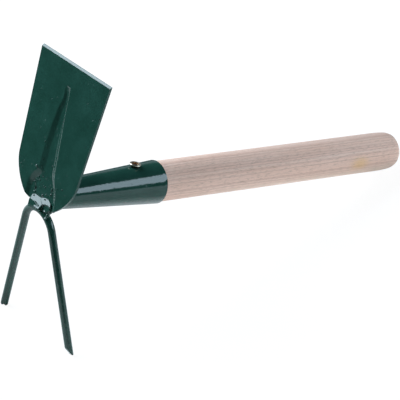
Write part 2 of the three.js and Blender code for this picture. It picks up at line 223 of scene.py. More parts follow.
# %% Cut the handle's profile, ring by ring
def turner_profile():
    """The cuts from the tenon's end to the butt, each as a place along X and a radius."""
    cuts = [
        (-TENON_LENGTH, tenon_radius(-TENON_LENGTH) - TENON_CHAMFER),
        (-TENON_LENGTH + TENON_CHAMFER, tenon_radius(-TENON_LENGTH + TENON_CHAMFER)),
        (SHOULDER_GAP, tenon_radius(0)),
        (SHOULDER_GAP, HANDLE_RADIUS - SHOULDER_ROUND),
        (SHOULDER_GAP + SHOULDER_ROUND, HANDLE_RADIUS),
    ]
    round_start = HANDLE_REACH - BUTT_CORNER - BUTT_ROUND_LENGTH
    for step in range(BUTT_ROUND_STEPS + 1):
        share = step / BUTT_ROUND_STEPS
        drop = BUTT_ROUND_DROP * (1 - math.sqrt(1 - share * share))
        cuts.append((round_start + BUTT_ROUND_LENGTH * share, HANDLE_RADIUS - drop))
    for step in range(1, BUTT_CORNER_STEPS + 1):
        turn = math.pi / 2 * step / BUTT_CORNER_STEPS
        cuts.append((
            HANDLE_REACH - BUTT_CORNER * (1 - math.sin(turn)),
            HANDLE_RADIUS - BUTT_ROUND_DROP - BUTT_CORNER * (1 - math.cos(turn)),
        ))
    return cuts


def ring_up(cuts):
    """Extrudes the selected ring along X from cut to cut, and brings each to its radius."""
    (x, radius), *rest = cuts
    for next_x, next_radius in rest:
        bpy.ops.mesh.extrude_region_move(
            TRANSFORM_OT_translate={"value": (next_x - x, 0, 0)}
        )
        share = next_radius / radius
        bpy.ops.transform.resize(value=(1, share, share), center_override=(next_x, 0, 0))
        x, radius = next_x, next_radius


profile = turner_profile()
bpy.ops.mesh.primitive_circle_add(
    vertices=ROUND_SIDES,
    radius=profile[0][1],
    fill_type="NGON",
    location=(profile[0][0], 0, 0),
    rotation=(0, math.pi / 2, 0),
)
handle = named("ash_handle")
start_edit(handle)
pick_all()
ring_up(profile)
face_outwards()
end_edit()
print("handle size, mm:", [round(v / MM, 2) for v in handle.dimensions])

# %% [markdown]
# ## The screw's bore
# A hole goes through the socket's wall and on down into the tenon, where it is
# narrower, as a pilot hole is. A drill is a cylinder, so a boolean with a
# cylinder is the plainest way to cut it, and one function drills both pieces.

# %% Drill a hole
SCREW_BACK = 19.6 * MM
SCREW_LENGTH = 25 * MM
SCREW_PROUD = 2.2 * MM
HOLE_RADIUS = 2.8 * MM
PILOT_RADIUS = 2.1 * MM
DRILL_OVERRUN = 20 * MM
DRILL_SIDES = 48


def drill(piece, radius):
    """Drills straight down from well above the socket to just past the screw's point."""
    top = socket_radius(-SCREW_BACK) + DRILL_OVERRUN
    foot = socket_radius(-SCREW_BACK) + SCREW_PROUD - SCREW_LENGTH - SEAT_GAP
    bpy.ops.mesh.primitive_cylinder_add(
        vertices=DRILL_SIDES, radius=radius, depth=top - foot,
        location=(-SCREW_BACK, 0, (top + foot) / 2),
    )
    cut_away(piece, bpy.context.object)


drill(handle, PILOT_RADIUS)
settle(handle, "ash_wood", "handle")

# %% [markdown]
# ## The socket
# The socket is a piece of sheet rolled into a taper, and its two edges don't
# quite meet on the underside. So it starts as a bare ring without a face, which
# is extruded to the nose. The nose is cut to the slope of the blade's back, the
# open seam is cut with two bisects, and only then does Solidify give the sheet
# its thickness. A small bevel rounds the edges, as enamel does on real sheet.

# %% Where the blade and the fork stand
HEAD_REACH = 95 * MM
BLADE_LEAN = math.radians(5.9)
NOSE_SETBACK = 3.6 * MM
BAR_RADIUS = 2.6 * MM
CROWN_DROP = 8.2 * MM
CROWN_SETBACK = 2.05 * MM
CROWN_RADIUS = 15.3 * MM
FORK_LEAN = math.radians(10.3)

# HEAD is the blade's own frame: X points out of its back and Z up the blade. FORK is the bar's,
# and starts in the bar at the top of the arch.
HEAD = Matrix.Translation((-HEAD_REACH, 0, 0)) @ Matrix.Rotation(BLADE_LEAN, 4, "Y")
plate_back = (HEAD.to_3x3() @ Vector((1, 0, 0))).normalized()
crown_spot = HEAD @ Vector((CROWN_SETBACK, 0, -CROWN_DROP))
FORK = Matrix.Translation(crown_spot) @ Matrix.Rotation(-FORK_LEAN, 4, "Y")
print("the arch of the fork is at, mm:", [round(v / MM, 2) for v in crown_spot])

# %% Roll the socket
SEAM_WIDTH = 0.8 * MM
SEAM_TURN = math.radians(20)
SHEET_EDGE_ROUND = 0.45 * MM
SHEET_EDGE_ANGLE = math.radians(50)
ROLL_STEPS = 34
ROLL_OVERRUN = 6 * MM

bpy.ops.mesh.primitive_circle_add(
    vertices=ROUND_SIDES, radius=MOUTH_RADIUS, fill_type="NOTHING",
    rotation=(0, math.pi / 2, 0),
)
socket = named("steel_socket")
start_edit(socket)
pick_all()
roll_end = -SOCKET_LENGTH - ROLL_OVERRUN
for step in range(ROLL_STEPS):
    here = roll_end * step / ROLL_STEPS
    there = roll_end * (step + 1) / ROLL_STEPS
    share = socket_radius(there) / socket_radius(here)
    bpy.ops.mesh.extrude_edges_move(TRANSFORM_OT_translate={"value": (there - here, 0, 0)})
    bpy.ops.transform.resize(value=(1, share, share), center_override=(there, 0, 0))

# The nose is cut to the slope of the blade's back.
nose_cut = HEAD @ Vector((NOSE_SETBACK, 0, 0))
pick_all()
bpy.ops.mesh.bisect(plane_co=nose_cut, plane_no=-plate_back, clear_outer=True)

# Two cuts beside the seam, and the strip of sheet between them is deleted.
seam_down = Vector((0, math.sin(SEAM_TURN), -math.cos(SEAM_TURN)))
seam_side = Vector((0, math.cos(SEAM_TURN), math.sin(SEAM_TURN)))
for side in (-1, 1):
    pick_all()
    bpy.ops.mesh.bisect(plane_co=seam_side * side * SEAM_WIDTH / 2, plane_no=seam_side)
strip = pick(
    socket,
    lambda face: abs(middle(face).dot(seam_side)) < SEAM_WIDTH / 2
    and middle(face).dot(seam_down) > 0,
    "faces",
)
bpy.ops.mesh.delete(type="FACE")
face_outwards()
end_edit()
print("seam strip faces deleted:", strip)

apply_modifier(socket, "SOLIDIFY", thickness=SOCKET_WALL, offset=-1, use_even_offset=True)
drill(socket, HOLE_RADIUS)

# The bar lies in a notch under the nose, so a ring of the bar's bend is cut out there.
bpy.ops.mesh.primitive_torus_add(
    major_segments=ROUND_SIDES, minor_segments=24,
    major_radius=CROWN_RADIUS, minor_radius=BAR_RADIUS + SEAT_GAP,
)
notch = bpy.context.object
notch.data.transform(
    FORK
    @ Matrix.Translation((0, 0, -CROWN_RADIUS))
    @ Matrix.Rotation(math.pi / 2, 4, "Y")
)
cut_away(socket, notch)
apply_modifier(
    socket, "BEVEL", width=SHEET_EDGE_ROUND, segments=3, limit_method="ANGLE",
    angle_limit=SHEET_EDGE_ANGLE,
)
settle(socket, "green_paint", "socket")

# %% [markdown]
# ## The blade
# The blade is one plate: nearly flat, wider at its cutting edge, round at its
# toe, and pressed down the middle into a groove that opens into a pocket at the
# socket. A press moves the whole sheet at once, and no extrude does that. So a
# fine grid is the blank, and one formula pushes each of its points to where the
# outline and the press put it. Solidify then gives the sheet its thickness.

# %% The blade's outline
BLADE_RISE = 92.0 * MM
TOE_DROP = 5.3 * MM
EDGE_WIDTH = 73.8 * MM
WAIST_WIDTH = 63.4 * MM
TURN_HEIGHT = 20 * MM
ROUND_DEPTH = 29 * MM
OUTLINE_POWER = 1.8
BLADE_THICKNESS = 1.65 * MM


def half_width(height):
    """Half of the blade's width at a height: straight sides, and a round toe below them."""
    slope = (EDGE_WIDTH - WAIST_WIDTH) / 2 / (BLADE_RISE - TURN_HEIGHT)
    straight = WAIST_WIDTH / 2 + slope * (height - TURN_HEIGHT)
    if height >= TURN_HEIGHT:
        return straight
    down = (TURN_HEIGHT - height) / ROUND_DEPTH
    return straight * (1 - down**OUTLINE_POWER) ** (1 / OUTLINE_POWER)


print("blade's half width at its edge, mm:", round(half_width(BLADE_RISE) / MM, 2))


# %% The press's form
PRESS_TOP = 76.5 * MM
PRESS_HALF = 16 * MM
PRESS_DEPTH = 1.65 * MM
# Down the blade, all as shares of the press's own size. Each wall runs from its lip to its foot.
PRESS_SHARES = (
    # height, left lip, left foot, right foot, right lip, depth
    (1.0, 0.22, 0.12, 0.0, -0.03, 0.0),
    (0.985, 0.27, 0.13, 0.0, -0.06, 0.3),
    (0.94, 0.24, 0.11, 0.0, -0.11, 0.5),
    (0.905, 0.21, 0.08, 0.005, -0.125, 0.65),
    (0.86, 0.275, 0.09, 0.005, -0.13, 0.82),
    (0.785, 0.39, 0.17, 0.01, -0.18, 0.98),
    (0.68, 0.465, 0.205, -0.01, -0.25, 1.0),
    (0.55, 0.53, 0.225, -0.02, -0.355, 1.0),
    (0.42, 0.58, 0.245, -0.10, -0.43, 1.0),
    (0.333, 0.605, 0.255, -0.165, -0.48, 1.0),
    (0.275, 0.6, 0.26, -0.195, -0.525, 1.0),
    (0.235, 0.61, 0.25, -0.23, -0.555, 1.0),
    (0.2, 0.69, 0.27, -0.28, -0.595, 1.0),
    (0.17, 0.8, 0.38, -0.40, -0.68, 1.0),
    (0.137, 0.92, 0.54, -0.525, -0.78, 1.0),
    (0.085, 1.02, 0.7, -0.66, -0.9, 1.0),
    (0.04, 1.04, 0.8, -0.725, -0.95, 1.0),
    (0.0, 1.02, 0.79, -0.76, -0.985, 1.0),
    (-0.08, 1.0, 0.78, -0.78, -1.0, 1.0),
)
# The share of a pressed wall that is round at each end, and the thinnest wall there can be.
WALL_ROUND = 0.22
WALL_THINNEST = 0.001
# The table is read at this many places, and each is softened over this many of them.
PRESS_PLACES = 400
PRESS_SOFTENING = 41


def ramp(t):
    """A straight ramp from nought to one, with both its ends rounded."""
    t = min(max(t, 0), 1)
    end = min(t, 1 - t)
    if end < WALL_ROUND:
        rise = end * end / (2 * WALL_ROUND * (1 - WALL_ROUND))
    else:
        rise = (end - WALL_ROUND / 2) / (1 - WALL_ROUND)
    return rise if t < 0.5 else 1 - rise


def mix(a, b, share):
    """The value that lies this share of the way from a to b."""
    return a + (b - a) * share


press_rows = np.array(PRESS_SHARES)[::-1]
press_places = np.linspace(press_rows[0, 0], press_rows[-1, 0], PRESS_PLACES)
soft_weights = np.hanning(PRESS_SOFTENING) / np.hanning(PRESS_SOFTENING).sum()


def softened(column):
    """Reads one column of the table with its corners rounded, as a real tool's edges are."""
    straight = np.interp(press_places, press_rows[:, 0], press_rows[:, column])
    margin = PRESS_SOFTENING // 2
    padded = np.concatenate([straight[:1].repeat(margin), straight, straight[-1:].repeat(margin)])
    return np.convolve(padded, soft_weights, mode="valid")


press_columns = [softened(column) for column in range(1, press_rows.shape[1])]


def sink(across, height):
    """How deep the press pushes the sheet at a place on the blade."""
    share = height / PRESS_TOP
    if share >= 1:
        return 0
    left_lip, left_foot, right_foot, right_lip, depth = (
        np.interp(share, press_places, column) for column in press_columns
    )
    place = across / PRESS_HALF
    left_wall = ramp((left_lip - place) / max(left_lip - left_foot, WALL_THINNEST))
    right_wall = ramp((place - right_lip) / max(right_foot - right_lip, WALL_THINNEST))
    return depth * PRESS_DEPTH * left_wall * right_wall


print("pressed depth at half height, mm:", round(sink(0, PRESS_TOP / 2) / MM, 2))


# %% Press the blank
ACROSS_STEPS = 150
RISE_STEPS = 190

bpy.ops.mesh.primitive_grid_add(
    x_subdivisions=ACROSS_STEPS, y_subdivisions=RISE_STEPS, size=2,
    rotation=(math.pi / 2, 0, math.pi / 2),
)
blade = named("steel_blade")
for point in blade.data.vertices:
    height = mix(-TOE_DROP, BLADE_RISE, (point.co.z + 1) / 2)
    across = point.co.y * half_width(height)
    point.co = (sink(across, height), across, height)
apply_modifier(blade, "SOLIDIFY", thickness=BLADE_THICKNESS, offset=1, use_even_offset=False)
print("blade depth, mm:", round(blade.dimensions.x / MM, 2))

# %% [markdown]
# ## The cutting edge
# The top of the plate is ground to an edge on its front face before it is
# painted, so a narrow slanted band runs across it under the same green paint. A
# grinding wheel takes away all that stands past a plane, and bisect does the
# same: it cuts the plate by one slanted plane, clears the outer side and fills
# the cut.

# %% Grind the edge
BEVEL_WIDTH = 1.2 * MM
EDGE_THICKNESS = 0.4 * MM

wheel_slope = Vector((BEVEL_WIDTH, 0, -(BLADE_THICKNESS - EDGE_THICKNESS))).normalized()
start_edit(blade)
pick_all()
bpy.ops.mesh.bisect(
    plane_co=(0, 0, BLADE_RISE - BEVEL_WIDTH), plane_no=-wheel_slope,
    use_fill=True, clear_outer=True,
)
end_edit()
print("blade top, mm:", round(max(v.co.z for v in blade.data.vertices) / MM, 2))

# %% [markdown]
# ## Burns and weld spatter
# The welder's arc burnt shallow pits into the plate and threw small drops of
# molten steel on it, and the paint covers both. A pit is cut with a flattened
# ball, and a drop is a flattened ball, half sunk into the plate. The pits come
# first, because a boolean needs the plate as one closed skin, which it isn't
# once the drops are joined to it. The large drops stand where the real tool has
# them, and the finest are strewn.

# %% Burn the pits
# The pits, in mm: place across, height on the plate, half width, half height.
BURNS = ((7.9, 3.0, 0.75, 1.3), (-0.4, 0.6, 1.3, 0.45), (10.2, 16.6, 0.8, 0.6))
BURN_DEPTH = 0.5
BALL_SIDES, BALL_RINGS = 20, 10


def ball_on_plate(spot, deep, sides, rings):
    """Adds a flattened ball with its middle on the plate's front. The sizes are in mm."""
    across, height, half_wide, half_high = spot
    face = sink(across * MM, height * MM)
    bpy.ops.mesh.primitive_uv_sphere_add(
        segments=sides, ring_count=rings, radius=MM, location=(face, across * MM, height * MM),
        scale=(deep, half_wide, half_high),
    )
    return bpy.context.object


for burn in BURNS:
    cut_away(blade, ball_on_plate(burn, BURN_DEPTH, BALL_SIDES, BALL_RINGS))
print("faces of the blade after the pits:", len(blade.data.polygons))

# %% Throw the spatter
# The large drops, in mm, by the same four measures as the pits.
DROPS = (
    (11.0, 17.4, 1.0, 0.8), (8.9, 3.4, 0.4, 1.6), (8.2, 0.7, 1.1, 0.4), (10.4, 6.7, 0.7, 0.6),
    (6.4, 9.5, 0.8, 0.6), (8.0, 11.1, 0.6, 0.5), (12.0, 7.9, 0.5, 0.5), (9.2, 5.6, 0.5, 0.8),
    (-7.5, 8.4, 0.55, 1.3), (-8.0, 5.2, 0.6, 0.7), (-0.3, 1.5, 0.9, 0.5), (-3.8, 3.3, 0.7, 0.6),
    (-2.3, 22.8, 0.5, 0.5), (-19.0, 13.8, 0.45, 0.45),
)
DROP_PROUD = 0.75
DROP_SIDES, DROP_RINGS = 14, 8
# The strewn drops, in mm: their middle, spread across and up the plate, lowest height, least and
# greatest half size, and least distance from the plate's rim.
FINE_DROPS = 46
FINE_MIDDLE = 2
FINE_SPREAD = 9.0
FINE_RISE = FINE_SPREAD * 1.6
FINE_LOWEST = 2
FINE_LEAST, FINE_GREATEST = 0.2, 0.42
FINE_MARGIN = 2

random.seed(11)
fine_drops = []
for _ in range(FINE_DROPS):
    across = random.gauss(FINE_MIDDLE, FINE_SPREAD)
    height = abs(random.gauss(0, FINE_RISE)) + FINE_LOWEST
    size = random.uniform(FINE_LEAST, FINE_GREATEST)
    if abs(across * MM) < half_width(height * MM) - FINE_MARGIN * MM:
        fine_drops.append((across, height, size, size))

drops = [
    ball_on_plate(drop, min(DROP_PROUD, drop[2]), DROP_SIDES, DROP_RINGS)
    for drop in (*DROPS, *fine_drops)
]
select_only(blade, *drops)
bpy.ops.object.join()
print("drops of spatter:", len(drops))
settle(blade, "green_paint", "blade", into=LEVEL_TO_FLOOR @ HEAD)

# %% [markdown]
# ## The fork
# The fork is one round bar, bent over a former into a narrow arch with two
# straight legs. The same is done here: a ring as wide as the bar is spun round
# the former's centre, drawn out straight to the tip and closed there. One half
# is enough, because a mirror gives the other, and only the cuts at the two tips
# differ.

# %% Bend the bar
FORK_DROP = 92.1 * MM
SPLAY = math.radians(16.1)
BEND = math.pi / 2 - SPLAY
TINE = (FORK_DROP - CROWN_RADIUS * (1 - math.cos(BEND))) / math.cos(SPLAY)
BAR_SIDES = 32
BEND_STEPS = 26
DRAW_STEPS = 40
# Points closer together than this are one point: in the mirror, and after it.
MIRROR_SEAM = 0.01 * MM
SAME_SPOT = 0.005 * MM

tine_way = Vector((0, math.sin(SPLAY), -math.cos(SPLAY)))

bpy.ops.mesh.primitive_circle_add(
    vertices=BAR_SIDES, radius=BAR_RADIUS, fill_type="NOTHING", rotation=(math.pi / 2, 0, 0)
)
fork = named("bar_fork")
start_edit(fork)
pick_all()
bpy.ops.mesh.spin(
    steps=BEND_STEPS, angle=BEND, center=(0, 0, -CROWN_RADIUS), axis=(1, 0, 0)
)
for _ in range(DRAW_STEPS):
    bpy.ops.mesh.extrude_edges_move(
        TRANSFORM_OT_translate={"value": tine_way * TINE / DRAW_STEPS}
    )
bpy.ops.mesh.edge_face_add()
end_edit()
apply_modifier(fork, "MIRROR", use_axis=(False, True, False), merge_threshold=MIRROR_SEAM)
start_edit(fork)
pick_all()
bpy.ops.mesh.remove_doubles(threshold=SAME_SPOT)
face_outwards()
end_edit()
print("fork size, mm:", [round(v / MM, 2) for v in fork.dimensions])

# %% [markdown]
# ## The two tips
# The photograph shows the two tines cut differently. One is sheared at a slant,
# which is one bisect. The other has a nick across its end, so it is filed: the
# file is a cube that stands on its edge, and a boolean takes its shape out of
# the bar.

# %% Trim the tips
TINE_CUT = math.radians(32)
TINE_LAND = 1.8 * MM
NICK_DEPTH = 1.3 * MM
NICK_TURN = math.radians(46)
TIP_ROUND = 0.3 * MM
TIP_ANGLE = math.radians(40)

tip = Vector((0, CROWN_RADIUS * math.sin(BEND) + TINE * math.sin(SPLAY), -FORK_DROP))
start_edit(fork)
pick(fork, lambda face: middle(face).y < -tip.y / 2, "faces")
bpy.ops.mesh.bisect(
    plane_co=(BAR_RADIUS - TINE_LAND, 0, tip.z),
    plane_no=(-math.cos(TINE_CUT), 0, -math.sin(TINE_CUT)),
    use_fill=True, clear_outer=True,
)
end_edit()

bpy.ops.mesh.primitive_cube_add(size=1, scale=(
    BAR_RADIUS * 4, NICK_DEPTH * math.sqrt(2), NICK_DEPTH * math.sqrt(2)
))
file_tool = named("file_tool")
file_tool.data.transform(
    Matrix.Translation(tip)
    @ Matrix.Rotation(SPLAY, 4, "X")
    @ Matrix.Rotation(NICK_TURN, 4, "Z")
    @ Matrix.Rotation(math.pi / 4, 4, "X")
)
cut_away(fork, file_tool)
apply_modifier(
    fork, "BEVEL", width=TIP_ROUND, segments=2, limit_method="ANGLE", angle_limit=TIP_ANGLE
)
settle(fork, "green_paint", "fork", into=LEVEL_TO_FLOOR @ FORK)

# %% [markdown]
# ## The screw
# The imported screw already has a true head, shank and thread, so the new one
# starts as a copy of it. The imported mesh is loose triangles, so the copy is
# merged first. Then the sharp rim of the head gets a small round, which is
# what lets a plated screw glint.

# %% Round the screw's head
SCREW_ROUND = 0.2 * MM
SCREW_SAME_SPOT = 0.002 * MM
# The rim is where faces meet at more than this angle, no deeper than this below the head's top.
RIM_ANGLE = math.radians(25)
RIM_DEPTH = 0.8 * MM

screw_node = frame["nodes"]["screw"]
screw = screw_node.copy()
screw.data = screw_node.data.copy()
screw.name = screw.data.name = "zinc_screw"
bpy.context.scene.collection.objects.link(screw)
screw.parent = None
for key in list(screw.keys()):
    del screw[key]
start_edit(screw)
pick_all()
bpy.ops.mesh.remove_doubles(threshold=SCREW_SAME_SPOT)
bpy.ops.mesh.customdata_custom_splitnormals_clear()
head_middle = LEVEL_TO_FLOOR @ Vector((-SCREW_BACK, 0, socket_radius(-SCREW_BACK) + SCREW_PROUD))
screw_up = LEVEL_TO_FLOOR.to_3x3() @ Vector((0, 0, 1))
rim = pick(
    screw,
    lambda edge: (middle(edge) - head_middle).dot(screw_up) > -RIM_DEPTH
    and edge.calc_face_angle(0) > RIM_ANGLE,
    "edges",
)
bpy.ops.mesh.bevel(offset=SCREW_ROUND, segments=2, profile=0.5)
end_edit()
print("edges rounded on the screw:", rim)
settle(screw, "zinc_screw", "screw", into=Matrix.Identity(4))

# %% [markdown]
# ## The welds
# A hand weld is pools of steel that ran and froze. Each pool on the front is
# drawn as an outline, filled, and extruded to its thickness, and the drops that
# ran down over the bar are spheres. A voxel remesh melts them together into one
# skin, and a little smoothing takes the creases out, as the molten metal's own
# surface does.

# %% Lay the front bead
BEAD_SLOPE = math.radians(33)
POOL_THICKNESS = 3.0 * MM
# Each pool, in mm: its setback and drop, its slope, and its outline up the slope and across.
POOLS = (
    (-0.35, 2.45, BEAD_SLOPE, (
        (1.4, 8.4), (2.7, 5.6), (2.5, 2.6), (2.6, -0.4), (2.4, -3.0), (-0.4, -5.0), (-1.5, -4.6),
        (-4.7, -4.6), (-4.7, 0.9), (-3.8, 1.0), (-3.8, -2.2), (-3.5, -3.6),
        (-2.2, -3.0), (-2.0, -1.2), (-1.5, 0.7), (-1.5, 2.6), (-1.8, 4.8), (-1.5, 6.6),
        (-0.6, 7.8),
    )),
    (-0.65, 2.45, BEAD_SLOPE, (
        (2.8, -0.9), (4.2, -3.0), (4.5, -5.6), (4.0, -8.3), (2.8, -10.8), (1.3, -12.2),
        (0.6, -11.9), (1.1, -10.1), (0.8, -8.3), (0.6, -7.0), (-0.2, -5.9), (-0.4, -4.7),
        (0.6, -3.0), (1.6, -1.2),
    )),
    (-0.3, 6.8, BEAD_SLOPE, ((0.2, -5.8), (-0.2, -8.4), (2.1, -9.0), (2.5, -7.4), (1.4, -6.2))),
    (-0.3, 9.9, BEAD_SLOPE, ((0.9, -9.8), (0.3, -11.3), (-0.9, -10.8), (-0.7, -9.6))),
    (-1.3, 0.0, 0.0, (
        (-3.6, 8.0), (-4.2, 2.0), (-5.0, -2.0), (-5.6, -4.0), (-7.6, -3.4), (-7.9, 0.0),
        (-8.2, 4.0), (-8.8, 8.4), (-5.0, 8.5),
    )),
    (0.2, 0.0, 0.0, ((-1.6, -3.0), (-1.2, -11.6), (-4.6, -11.6), (-7.0, -9.5), (-7.4, -4.0))),
)
# The drops that ran down over the bar, in mm: place across, setback, drop, radius.
RUNS = (
    (7.8, 1.6, 4.6, 2.4), (7.4, 1.4, 6.8, 2.4), (-5.0, 2.3, 6.2, 2.2), (-7.5, 2.5, 6.2, 2.3),
    (-9.8, 2.6, 5.6, 2.1), (-10.4, 1.5, 8.4, 1.5),
)
# Pits in the pools, in mm: which pool, place up its slope, across, half length, half width.
PITS = ((0, 1.2, 6.2, 0.5, 0.9), (1, 3.1, -4.4, 0.45, 1.2))
PIT_DEPTH = 0.6
RUN_SIDES, RUN_RINGS = 32, 16
BEAD_VOXEL = 0.2 * MM
BEAD_SMOOTHING = 5


def melt(parts, name, voxel, smooth_rounds):
    """Joins the parts of a bead and turns them into one smooth skin."""
    select_only(*parts)
    bpy.ops.object.join()
    bead = bpy.context.object
    bead.name = bead.data.name = name
    bpy.ops.object.transform_apply(location=True, rotation=True, scale=True)
    apply_modifier(bead, "REMESH", mode="VOXEL", voxel_size=voxel)
    apply_modifier(bead, "SMOOTH", factor=0.5, iterations=smooth_rounds)
    return bead


def pool_place(setback, drop, slope):
    """Where a pool lies: its own X runs up the slope, Y across and Z out of its surface."""
    spot = Matrix.Translation(Vector((setback, 0, -drop)) * MM)
    return spot @ Matrix.Rotation(slope - math.pi / 2, 4, "Y")


puddles = []
for setback, drop, slope, outline in POOLS:
    bpy.ops.mesh.primitive_circle_add(vertices=len(outline), radius=MM, fill_type="NGON")
    pool = bpy.context.object
    for point, (up_slope, across) in zip(pool.data.vertices, outline):
        point.co = Vector((up_slope, across, 0)) * MM
    start_edit(pool)
    pick_all()
    bpy.ops.mesh.extrude_region_move(TRANSFORM_OT_translate={"value": (0, 0, -POOL_THICKNESS)})
    face_outwards()
    end_edit()
    pool.data.transform(pool_place(setback, drop, slope))
    puddles.append(pool)
for across, setback, drop, radius in RUNS:
    bpy.ops.mesh.primitive_uv_sphere_add(
        segments=RUN_SIDES, ring_count=RUN_RINGS, radius=radius * MM,
        location=Vector((setback, across, -drop)) * MM,
    )
    puddles.append(bpy.context.object)
front_weld = melt(puddles, "front_weld", BEAD_VOXEL, BEAD_SMOOTHING)
for number, up_slope, across, half_long, half_wide in PITS:
    bpy.ops.mesh.primitive_uv_sphere_add(
        segments=BALL_SIDES, ring_count=BALL_RINGS, radius=MM,
        scale=(half_long, half_wide, PIT_DEPTH),
    )
    dent = named("dent")
    on_pool = Matrix.Translation(Vector((up_slope, across, 0)) * MM)
    dent.data.transform(pool_place(*POOLS[number][:3]) @ on_pool)
    cut_away(front_weld, dent)
print("front bead, mm:", [round(v / MM, 1) for v in front_weld.dimensions])
settle(front_weld, "green_paint", "fork_weld", into=LEVEL_TO_FLOOR @ HEAD)

# %% [markdown]
# ## The weld behind the blade
# This weld can't be seen in the photograph, so it is the plain one that a
# welder would run: a fillet round the socket's nose, left open underneath where
# the fork's bar lies. A torus would be too even for handwork, so it is laid
# puddle by puddle, each of a slightly different size, and melted together as
# the front bead was.

# %% Run the back fillet
FILLET_PUDDLES = 30
# A puddle's radius and how much it varies, and how far it lies out from the nose and behind it.
PUDDLE_RADIUS = 1.75 * MM
PUDDLE_LEAST, PUDDLE_GREATEST = 0.92, 1.08
PUDDLE_OUT = 0.55 * MM
PUDDLE_BACK = 0.6 * MM
FILLET_VOXEL = 0.35 * MM
FILLET_SMOOTHING = 3
FILLET_FROM = math.radians(-52)
FILLET_TO = math.radians(232)

random.seed(7)
puddles = []
for step in range(FILLET_PUDDLES):
    turn = mix(FILLET_FROM, FILLET_TO, step / (FILLET_PUDDLES - 1))
    reach = NOSE_RADIUS + PUDDLE_OUT
    spot = Vector((0, math.cos(turn) * reach, math.sin(turn) * reach))
    spot.x = -HEAD_REACH + NOSE_SETBACK + PUDDLE_BACK + spot.z * math.tan(BLADE_LEAN)
    radius = PUDDLE_RADIUS * random.uniform(PUDDLE_LEAST, PUDDLE_GREATEST)
    bpy.ops.mesh.primitive_uv_sphere_add(
        segments=BALL_SIDES, ring_count=BALL_RINGS, radius=radius, location=spot
    )
    puddles.append(bpy.context.object)
back_weld = melt(puddles, "back_weld", FILLET_VOXEL, FILLET_SMOOTHING)
settle(back_weld, "green_paint", "socket_weld")

# %% [markdown]
# ## Colours and nodes
# Every colour is written as a maker would pick it, as a hex value seen on a
# screen, and one function turns it into the linear numbers that shaders work
# in. One more function adds a node with its settings and its links. The short
# ones under it spell out what comes up again and again, so that a material
# reads as a list of what it is made of.

# %% Helpers for materials
def colour(code):
    """A screen colour in hex, turned to linear values."""
    shares = [int(code[i:i + 2], 16) / 255 for i in (1, 3, 5)]
    return tuple(
        s / 12.92 if s <= 0.04045 else ((s + 0.055) / 1.055) ** 2.4 for s in shares
    ) + (1.0,)


def add_node(tree, kind, sockets=None, stops=None, **settings):
    """Adds one node. A value in sockets is a link when it is another node's output."""
    node = tree.nodes.new("ShaderNode" + kind)
    for setting, value in settings.items():
        setattr(node, setting, value)
    for key, value in (sockets or {}).items():
        if isinstance(value, bpy.types.NodeSocket):
            tree.links.new(value, node.inputs[key])
        else:
            node.inputs[key].default_value = value
    if stops:
        elements = node.color_ramp.elements
        while len(elements) < len(stops):
            elements.new(0.5)
        for element, (place, shade) in zip(elements, stops):
            element.position = place
            element.color = shade
    return node


def clouds(tree, place, size, detail, roughness=0.5, output="Fac"):
    """A cloudy pattern with patches of about this many millimetres."""
    return add_node(tree, "TexNoise", {
        "Vector": place, "Scale": 1 / (size * MM), "Detail": detail, "Roughness": roughness,
    }).outputs[output]


def drawn_out(tree, place, scale, **more):
    """Scales the places of a pattern. Along an axis scaled below one, it is drawn out."""
    return add_node(tree, "Mapping", {"Vector": place, "Scale": scale, **more}).outputs["Vector"]


def fade(tree, value, start, end, before=0.0, after=1.0, way="SMOOTHSTEP"):
    """Fades from before to after while the value goes from start to end."""
    return add_node(tree, "MapRange", {
        "Value": value, "From Min": start, "From Max": end, "To Min": before, "To Max": after,
    }, interpolation_type=way).outputs["Result"]


def blend(tree, share, first, second, way="MIX"):
    """Mixes two colours; the share is the second one's."""
    return add_node(tree, "Mix", {
        0: share, 6: first, 7: second,
    }, data_type="RGBA", blend_type=way).outputs[2]


def product(tree, first, second):
    """Multiplies two values."""
    return add_node(tree, "Math", {0: first, 1: second}, operation="MULTIPLY").outputs[0]


def bump(tree, pattern, strength, height, **more):
    """Raises a pattern in the light only, not in the shape. The height is in mm."""
    return add_node(tree, "Bump", {
        "Height": pattern, "Strength": strength, "Distance": height * MM, **more,
    }).outputs["Normal"]


def surface(tree, base, roughness, **more):
    """Ends a material in one surface."""
    shader = add_node(tree, "BsdfPrincipled", {
        "Base Color": base, "Roughness": roughness, **more,
    })
    add_node(tree, "OutputMaterial", {"Surface": shader.outputs["BSDF"]})


def new_material(name):
    """An empty material, and the node tree that it is built in."""
    material = bpy.data.materials.new(name)
    material.use_nodes = True
    material.node_tree.nodes.clear()
    return material, material.node_tree


def coat(material, *pieces):
    """Gives the pieces this material and no other."""
    for piece in pieces:
        piece.data.materials.clear()
        piece.data.materials.append(material)
    covered = ", ".join(piece.name for piece in pieces)
    print(material.name, "has", len(material.node_tree.nodes), "nodes and covers", covered)


# %% [markdown]
# ## Green enamel
# The steel is painted with a dark green gloss enamel. Enamel is pigment under a
# hard glossy film, so it is a dark plain colour with a sharp, colourless
# reflection on top. What makes it look real is that the film isn't a mirror:
# it dries with a faint orange peel, it holds grains of dust, and it is a little
# thicker in some places. The peel only bends the reflection, so it is a bump
# and not a change of colour, and the dust is a bump on top of that one.

# %% Green enamel
ENAMEL = "#20453b"
ENAMEL_THICK = "#1d4137"
ENAMEL_THIN = "#254b41"
ENAMEL_ROUGHNESS = 0.1
ENAMEL_INDEX = 1.5
FILM_PATCH = 14.0
# The real peel is finer, about a millimetre. It is drawn coarser so that the picture shows it.
PEEL_GRAIN = 2.4
PEEL_HEIGHT, PEEL_STRENGTH = 0.1, 0.7
